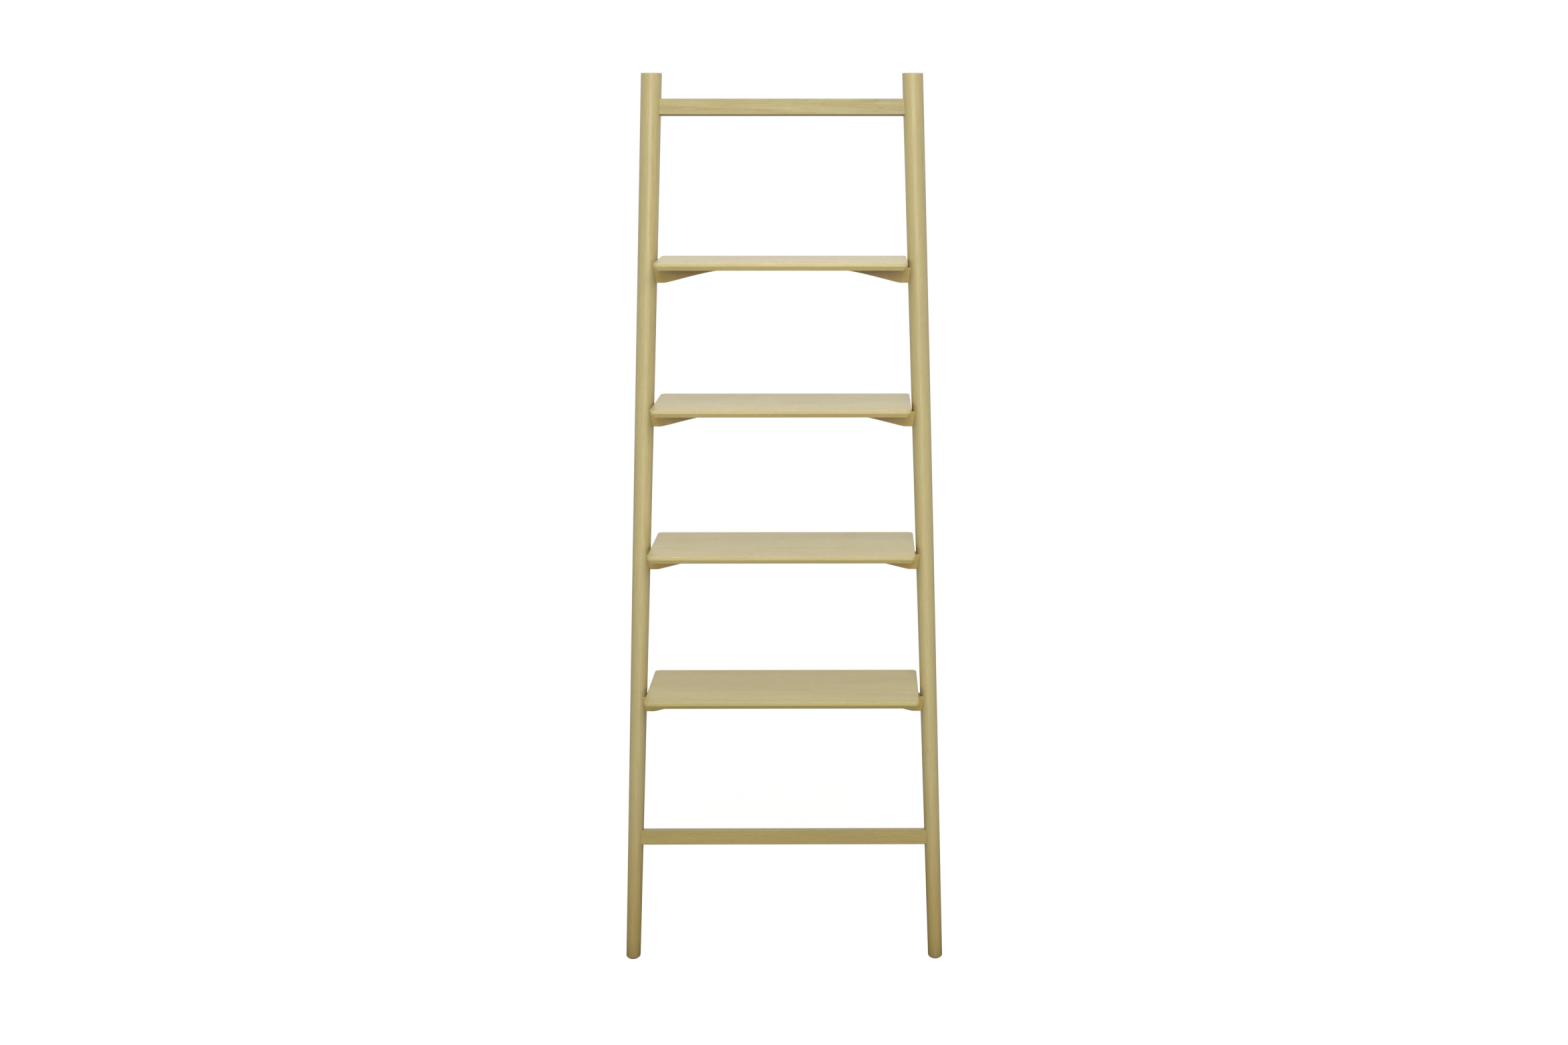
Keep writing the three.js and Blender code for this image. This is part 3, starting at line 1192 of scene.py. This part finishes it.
@dataclass(frozen=True)
class Shelf:
    """A board on its arched bearer, with the three screws between them.

    Shelves are numbered from the top down. The reaches go from the stiles' axes to the board's
    back and front, and the inset from an axis to its end. The board has an upright nose with a
    bevel under it. The bearer has its end height on a level land at each end, and then an arch
    curve up to its middle height. The pulls are how far along the curve its two handles reach.
    """

    plan: Plan
    number: int
    top: float
    board_finish: WoodFinish
    bearer_finish: WoodFinish
    back_reach: float = 114 * MM
    front_reach: float = 103 * MM
    end_inset: float = 22 * MM
    nose: float = 7 * MM
    bevel_height: float = 9 * MM
    bevel_depth: float = 8.5 * MM
    corner_radius: float = 10 * MM
    corner_steps: int = 10
    top_arris: float = 1.2 * MM
    low_arris: float = 0.5 * MM
    low_arris_steps: int = 2
    bearer_thickness: float = 25 * MM
    end_height: float = 32 * MM
    middle_height: float = 6 * MM
    land: float = 15 * MM
    arch_length: float = 122 * MM
    arch_pulls: Point = (0.065, 0.77)
    bearer_arris: float = 1.2 * MM
    arch_steps: int = 28
    halvings: int = 40
    screw: ShelfScrew = ShelfScrew()
    screw_spacing: float = 80 * MM

    @property
    def thickness(self) -> float:
        """The board's whole thickness."""
        return self.nose + self.bevel_height

    @property
    def seat(self) -> float:
        """Height of the bearer's upper face."""
        return self.top - self.thickness

    @property
    def bearer_middle(self) -> float:
        """Height of the middle of the bearer's ends."""
        return self.seat - self.end_height / 2

    @property
    def joint(self) -> Joint:
        """The dowels in the bearer's ends."""
        return Joint(self.bearer_middle)

    def screw_places(self) -> list[Vector]:
        """Finds where the screws' heads lie.

        Returns:
            Their places from the left to the right.
        """
        y = self.plan.axis_y(self.bearer_middle)
        z = self.seat - self.middle_height
        return [Vector((step * self.screw_spacing, y, z)) for step in (-1, 0, 1)]

    def screw_drills(self) -> Mesh:
        """Makes the cutters of all three screw holes.

        Returns:
            All three as one mesh.
        """
        drills = []
        for place in self.screw_places():
            drill = self.screw.drill()
            bmesh.ops.translate(drill, vec=place, verts=drill.verts)
            drills.append(drill)
        return join_all(drills)

    def build_board(self, effects: SharedEffects) -> None:
        """Builds, drills and dresses the board.

        Args:
            effects: The shared node groups.
        """
        middle = self.top - self.thickness / 2
        width = 2 * (self.plan.axis_x(middle) - self.end_inset)
        depth = self.front_reach + self.back_reach
        centre_y = self.plan.axis_y(middle) + (self.back_reach - self.front_reach) / 2
        bm = block((width, depth, self.nose), (0, centre_y, self.top - self.nose / 2))
        upright = [e for e in bm.edges if abs(e.verts[0].co.z - e.verts[1].co.z) > SAME_PLACE]
        soften(bm, upright, self.corner_radius, self.corner_steps)
        bm.faces.ensure_lookup_table()
        under = min(bm.faces, key=lambda face: face.calc_center_median().z)
        bmesh.ops.inset_region(
            bm, faces=[under], thickness=self.bevel_depth, depth=0.0, use_even_offset=True
        )
        bmesh.ops.translate(bm, vec=(0, 0, -self.bevel_height), verts=under.verts)
        upper = max(bm.faces, key=lambda face: face.calc_center_median().z)
        soften(bm, upper.edges, self.top_arris, ARRIS_STEPS)
        low = []
        for edge in bm.edges:
            first, second = (vertex.co.z for vertex in edge.verts)
            below_nose = max(first, second) < self.top - self.nose + SAME_PLACE
            if below_nose and abs(first - second) < SAME_PLACE:
                low.append(edge)
        soften(bm, low, self.low_arris, self.low_arris_steps)
        thing = object_from(bm, f"oak_board_{self.number}")
        cut(thing, [self.screw_drills()])
        material = self.board_finish.make(effects)
        finish_piece(thing, material, [f"shelf_{self.number}"])

    def rise_at(self, share: float) -> float:
        """How far the arch has risen.

        Args:
            share: How far along the curve, as a share of its length.

        Returns:
            The rise as a share of the whole.
        """
        first, second = self.arch_pulls
        low, high = 0.0, 1.0
        for _ in range(self.halvings):
            t = (low + high) / 2
            along = 3 * (1 - t) ** 2 * t * first + 3 * (1 - t) * t * t * second + t**3
            low, high = (t, high) if along < share else (low, t)
        return 3 * (1 - low) * low * low + low**3

    def build_bearer(self, stiles: Sequence[Stile], effects: SharedEffects) -> None:
        """Builds, fits and dresses the bearer.

        Args:
            stiles: The two stiles.
            effects: The shared node groups.
        """
        plan = self.plan
        middle = self.bearer_middle
        size = (2 * plan.axis_x(middle), self.bearer_thickness, self.end_height)
        bm = block(size, (0, plan.axis_y(middle), middle))
        land_end = plan.face_x(middle) - self.land
        for side in Side:
            for step in range(self.arch_steps + 1):
                share = step / self.arch_steps
                station = (side.value * (land_end - self.arch_length * share), 0, 0)
                whole = [*bm.verts, *bm.edges, *bm.faces]
                bmesh.ops.bisect_plane(bm, geom=whole, plane_co=station, plane_no=(1, 0, 0))
        rise = self.end_height - self.middle_height
        for vertex in bm.verts:
            if vertex.co.z < middle:
                share = (land_end - abs(vertex.co.x)) / self.arch_length
                vertex.co.z += rise * self.rise_at(min(max(share, 0.0), 1.0))
        soften(bm, long_corners(bm), self.bearer_arris, ARRIS_STEPS)
        thing = object_from(bm, f"oak_bearer_{self.number}")
        cope(thing, stiles, self.joint)
        cut(thing, [self.screw_drills()])
        material = self.bearer_finish.make(effects)
        finish_piece(thing, material, [f"bearer_{self.number}"])

    def build_screws(self, material: Material) -> None:
        """Builds and dresses the three screws.

        Args:
            material: The screws' material.
        """
        for place, label in zip(self.screw_places(), ("left", "middle", "right")):
            thing = object_from(self.screw.body(), f"zinc_screw_{self.number}_{label}")
            cut(thing, [self.screw.socket()])
            thing.data.transform(Matrix.Translation(place))
            node = f"shelf_screw_{self.number}_{label}"
            finish_piece(thing, material, [node])


@dataclass(frozen=True)
class Pad:
    """A round rubber pad on a foot or behind a stile's top.

    Its place turns and moves it from the origin, where its outer face looks down.
    """

    node: str
    diameter: float
    height: float
    place: Matrix
    edge: float = 0.6 * MM
    sides: int = 48
    edge_steps: int = 3

    def build(self, material: Material) -> None:
        """Builds and dresses the pad.

        Args:
            material: The pad's material.
        """
        radius = self.diameter / 2
        rim = quarter_round(radius, 0.0, self.edge, 1, self.edge_steps)
        bm = revolve([(0.0, 0.0), *rim, (radius, self.height), (0.0, self.height)], self.sides)
        bmesh.ops.transform(bm, matrix=self.place, verts=bm.verts)
        thing = object_from(bm, f"rubber_{self.node}")
        finish_piece(thing, material, [self.node])


# The studio


@dataclass(frozen=True)
class Camera:
    """The viewpoint.

    It looks down by its pitch and towards +X by its yaw, and its right side is raised by its
    roll, all in degrees. Focal length, middle and width are in pixels of the picture, and the
    sensor's width is in millimetres. The middle is where the lens axis meets the picture.
    """

    place: Place = (0.1667, -3.6568, 1.7478)
    pitch: float = 13.188
    yaw: float = 0.311
    roll: float = 0.014
    focal_pixels: float = 2711.25
    middle_pixel: float = 1309.7
    picture_width: float = 2352.0
    sensor: float = 36.0

    def build(self) -> None:
        """Makes the camera and gives it to the scene."""
        data = bpy.data.cameras.new("camera")
        data.sensor_width = self.sensor
        data.sensor_fit = "HORIZONTAL"
        data.lens = self.focal_pixels / self.picture_width * self.sensor
        data.shift_x = (self.picture_width / 2 - self.middle_pixel) / self.picture_width
        camera = bpy.data.objects.new("camera", data)
        place = Matrix.Translation(self.place)
        for degrees, axis in ((-self.yaw, "Z"), (90 - self.pitch, "X"), (self.roll, "Z")):
            place = place @ Matrix.Rotation(math.radians(degrees), 4, axis)
        camera.matrix_world = place
        bpy.context.scene.collection.objects.link(camera)
        bpy.context.scene.camera = camera


@dataclass(frozen=True)
class SoftLight:
    """A square soft light that faces a target, with its power in watts and spread in degrees."""

    name: str
    place: Place
    target: Place
    size: float
    power: float
    spread: float = 180.0

    def build(self) -> None:
        """Makes the light."""
        data = bpy.data.lights.new(self.name, "AREA")
        data.shape = "SQUARE"
        data.size = self.size
        data.energy = self.power
        data.spread = math.radians(self.spread)
        light = bpy.data.objects.new(self.name, data)
        aim = (Vector(self.target) - Vector(self.place)).to_track_quat("-Z", "Y")
        light.matrix_world = Matrix.Translation(self.place) @ aim.to_matrix().to_4x4()
        bpy.context.scene.collection.objects.link(light)


@dataclass(frozen=True)
class Studio:
    """A white studio: a pale floor that keeps the shadow, soft lights and a white surround.

    As a reflector the floor has the first of its levels near the shelf and the second beyond,
    between the two near distances. The eye sees another level, mottled and lifted so that it is
    white out of the shadow, and the surround's white beyond the two fade distances.
    """

    camera: Camera = Camera()
    lights: tuple[SoftLight, ...] = (
        SoftLight("key", (0.2, -2.5, 2.8), (0.0, 0.0, 1.1), 1.8, 8.6, 75.0),
        SoftLight("overhead", (0.0, -0.6, 3.6), (0.0, 0.0, 1.0), 1.6, 10.4),
        SoftLight("front", (0.2, -3.4, 1.2), (0.0, 0.0, 1.2), 1.8, 17.0),
    )
    surround_light: float = 0.38
    floor_radius: float = 12.0
    floor_sides: int = 64
    floor_lift: float = 0.8
    floor_seen: float = 0.4
    floor_mottle: float = 0.03
    mottle_scale: float = 0.01
    mottle_detail: float = 3.0
    floor_levels: Point = (0.18, 1.0)
    near: Point = (0.25, 1.1)
    fade: Point = (0.9, 2.2)

    def build_surround(self) -> None:
        """Makes the surround: white to the eye and in reflections, softer as a light."""
        world = bpy.data.worlds.new("surround")
        bpy.context.scene.world = world
        world.use_nodes = True
        world.node_tree.nodes.clear()
        graph = Graph(world.node_tree)
        ray = graph.add("ShaderNodeLightPath").outputs
        seen = graph.math("MAXIMUM", ray["Is Camera Ray"], ray["Is Glossy Ray"])
        seen = graph.math("MAXIMUM", seen, ray["Is Transmission Ray"])
        light = self.surround_light
        strength = graph.math("MULTIPLY_ADD", seen, 1.0 - light, light)
        inputs = {"Color": (1, 1, 1, 1), "Strength": strength}
        background = graph.add("ShaderNodeBackground", inputs)
        graph.add("ShaderNodeOutputWorld", {"Surface": background.outputs[0]})

    def floor_material(self) -> Material:
        """Makes the floor's material.

        Returns:
            The material.
        """
        material = bpy.data.materials.new("pale_floor")
        material.use_nodes = True
        material.node_tree.nodes.clear()
        graph = Graph(material.node_tree)
        place = graph.add("ShaderNodeTexCoord").outputs["Object"]
        distance = graph.vector("LENGTH", place, output="Value")
        eye = graph.add("ShaderNodeLightPath").outputs["Is Camera Ray"]
        place = graph.millimetres(place)
        mottle = graph.noise(place, (self.mottle_scale,), detail=self.mottle_detail)
        seen = graph.math("MULTIPLY_ADD", mottle, self.floor_mottle, self.floor_seen)
        level = graph.span(distance, *self.near, *self.floor_levels)
        paint = graph.add("ShaderNodeBsdfDiffuse", {"Color": graph.blend(eye, level, seen)})
        lift = graph.math("MULTIPLY", eye, self.floor_lift)
        glow = graph.add("ShaderNodeEmission", {"Strength": lift})
        shader = graph.add("ShaderNodeAddShader", {0: paint.outputs[0], 1: glow.outputs[0]})
        white = graph.add("ShaderNodeEmission", {"Strength": 1.0})
        clear = graph.add("ShaderNodeBsdfTransparent")
        from_below = graph.add("ShaderNodeNewGeometry").outputs["Backfacing"]
        for share, other in ((graph.span(distance, *self.fade), white), (from_below, clear)):
            share = graph.math("MULTIPLY", share, eye)
            inputs = {0: share, 1: shader.outputs[0], 2: other.outputs[0]}
            shader = graph.add("ShaderNodeMixShader", inputs)
        graph.add("ShaderNodeOutputMaterial", {"Surface": shader.outputs[0]})
        return material

    def build(self) -> None:
        """Builds the whole studio and sets the plain view of colours."""
        self.build_surround()
        bm = bmesh.new()
        bmesh.ops.create_circle(
            bm, cap_ends=True, segments=self.floor_sides, radius=self.floor_radius
        )
        floor = object_from(bm, "floor")
        floor.data.materials.append(self.floor_material())
        for item in (*self.lights, self.camera):
            item.build()
        bpy.context.scene.view_settings.view_transform = "Standard"


# The whole shelf


@dataclass(frozen=True)
class LadderShelf:
    """The whole ladder shelf.

    The first shelf is the uppermost, whose back reach is shorter because of the wall. Each rail
    has its node, the height of its middle and its width, and its light and dark colours. Each
    stile has its log's heart, ring spacing and tone, and each board its tone and how blue its
    light colour is. A pad has a diameter and a height.
    """

    plan: Plan
    first_top: float = 1427 * MM
    last_top: float = 557 * MM
    first_back_reach: float = 75 * MM
    rail_rows: tuple[tuple[str, float, float, Colour, Colour], ...] = (
        ("top_rail", 1731 * MM, 32 * MM, (195, 178, 112), (179, 161, 95)),
        ("bottom_rail", 248.5 * MM, 30 * MM, (199, 177, 102), (183, 160, 85)),
    )
    stile_rows: tuple[tuple[Side, Place, float, float], ...] = (
        (Side.LEFT, (0.0, 0.035, -0.38), 2.6, 1.0),
        (Side.RIGHT, (0.4, -0.06, -0.31), 2.9, 0.99),
    )
    # Painted shade: the lowest board's tone is darker and its light colour less blue, for the
    # shade of the shelf above it.
    board_rows: tuple[Point, ...] = ((1.2, 126), (1.19, 124), (1.19, 124), (1.12, 114))
    # Painted shade that darkens the stiles towards their feet.
    golden: Colour = (247, 235, 206)
    foot_pad: Point = (22 * MM, 1.5 * MM)
    wall_pad: Point = (14 * MM, 2.5 * MM)
    wall_pad_drop: float = 9 * MM

    def stiles(self) -> list[Stile]:
        """Sets out both stiles, each from its own log.

        Returns:
            The left one and the right one.
        """
        stiles = []
        for side, heart, ring_spacing, tone in self.stile_rows:
            wood = WoodFinish(
                f"oak_of_{side.label}_stile",
                tuple(self.plan.axis_direction(side)),
                heart,
                ring_spacing=ring_spacing,
                tone=tone,
                low_tint=self.golden,
            )
            stiles.append(Stile(self.plan, side, wood))
        return stiles

    def rails(self) -> list[Rail]:
        """Sets out both rails.

        Returns:
            The top one and the bottom one.
        """
        rails = []
        for index, (node, height, width, light, dark) in enumerate(self.rail_rows):
            wood = WoodFinish(
                f"oak_of_{node}",
                heart=(0.7 * index, 0.05 - 0.03 * index, -height - 0.06),
                ring_spacing=2.4,
                light=light,
                dark=dark,
                tone=0.79,
                figure=1.0,
                wear=0.2,
            )
            rails.append(Rail(self.plan, node, height, width, wood))
        return rails

    def shelves(self) -> list[Shelf]:
        """Sets out the shelves, evenly spaced.

        Returns:
            All of them from the top down.
        """
        spacing = (self.first_top - self.last_top) / (len(self.board_rows) - 1)
        shelves = []
        for index, (tone, blue) in enumerate(self.board_rows):
            top = self.first_top - spacing * index
            y = self.plan.axis_y(top)
            # The boards' pale, strong edge wear is partly real wear and partly a painted highlight
            # along the arrises of the noses.
            board = WoodFinish(
                f"oak_of_board_{index + 1}",
                heart=(0.9 * index, -y + 0.03 * (index - 1), -top + 0.075 + 0.01 * index),
                ring_spacing=3.4,
                light=(196, 181, blue),
                dark=(180, 163, blue - 20),
                worn=(222, 213, 196),
                tone=tone,
                figure=0.65,
                wear=0.8,
                nook=0.0,
                roughness=0.29,
            )
            # Painted shade: the bearers' colours are darker and more saturated than the other
            # oak's, and the top bearer's tone is the darkest, for the shade under the boards.
            bearer = WoodFinish(
                f"oak_of_bearer_{index + 1}",
                heart=(1.3 + 0.8 * index, -y + 0.09, -top - 0.03),
                ring_spacing=2.7,
                light=(182, 157, 80),
                dark=(165, 140, 64),
                tone=self.board_rows[-1 - index][0],
                wear=0.1,
                nook=0.9,
            )
            back_reach = Shelf.back_reach if index else self.first_back_reach
            shelves.append(Shelf(self.plan, index + 1, top, board, bearer, back_reach))
        return shelves

    def pads(self, stiles: Sequence[Stile]) -> list[Pad]:
        """Sets out the pads under the feet and behind the stiles' tops.

        Args:
            stiles: The two stiles.

        Returns:
            All four pads.
        """
        pads = []
        for stile in stiles:
            sign, label = stile.side.value, stile.side.label
            height = self.foot_pad[1]
            foot = (sign * self.plan.axis_x(height), self.plan.axis_y(height), 0)
            pads.append(Pad(f"foot_pad_{label}", *self.foot_pad, Matrix.Translation(foot)))
            z = self.plan.height - self.wall_pad_drop
            wall = (sign * self.plan.axis_x(z), stile.wall_flat_y + self.wall_pad[1], z)
            place = Matrix.Translation(wall) @ Matrix.Rotation(QUARTER_TURN, 4, "X")
            pads.append(Pad(f"wall_pad_{label}", *self.wall_pad, place))
        return pads

    def dress_dowels(self, effects: SharedEffects) -> None:
        """Gives the dowels, which stay as they are, their wood.

        Args:
            effects: The shared node groups.
        """
        wood = WoodFinish(
            "beech_of_dowels",
            heart=(0.0, 0.2, -0.1),
            ring_spacing=2.0,
            wander=6.0,
            light=(214, 184, 142),
            dark=(202, 168, 124),
            pore=(176, 138, 96),
            worn=(222, 196, 158),
            roughness=0.6,
        )
        beech = wood.make(effects)
        for name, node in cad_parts.items():
            if name.startswith("dowel_"):
                node.data.materials.clear()
                node.data.materials.append(beech)
                LOG.info("%s: kept, in beech", name)

    def build(self, effects: SharedEffects) -> None:
        """Builds every piece.

        Args:
            effects: The shared node groups.
        """
        stiles = self.stiles()
        rails = self.rails()
        shelves = self.shelves()
        joints = [rung.joint for rung in (*rails, *shelves)]
        for stile in stiles:
            stile.build(joints, effects)
        for rail in rails:
            rail.build(stiles, effects)
        zinc = ZincFinish().make(effects)
        for shelf in shelves:
            shelf.build_board(effects)
            shelf.build_bearer(stiles, effects)
            shelf.build_screws(zinc)
        rubber = RubberFinish().make(effects)
        for pad in self.pads(stiles):
            pad.build(rubber)
        self.dress_dowels(effects)


def plan_in_frame() -> Plan:
    """Sets the plan out where the solids are: a foot pad's middle is on its stile's axis."""
    low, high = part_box("foot_pad_left")
    return Plan(top_place=(low.y + high.y) / 2 - Plan().axis_y(high.z))


def main() -> None:
    """Builds the shelf and the studio."""
    logging.basicConfig(level=logging.INFO, format="%(name)s: %(message)s")
    effects = SharedEffects()
    LadderShelf(plan_in_frame()).build(effects)
    Studio().build()


if __name__ == "__main__":
    main()
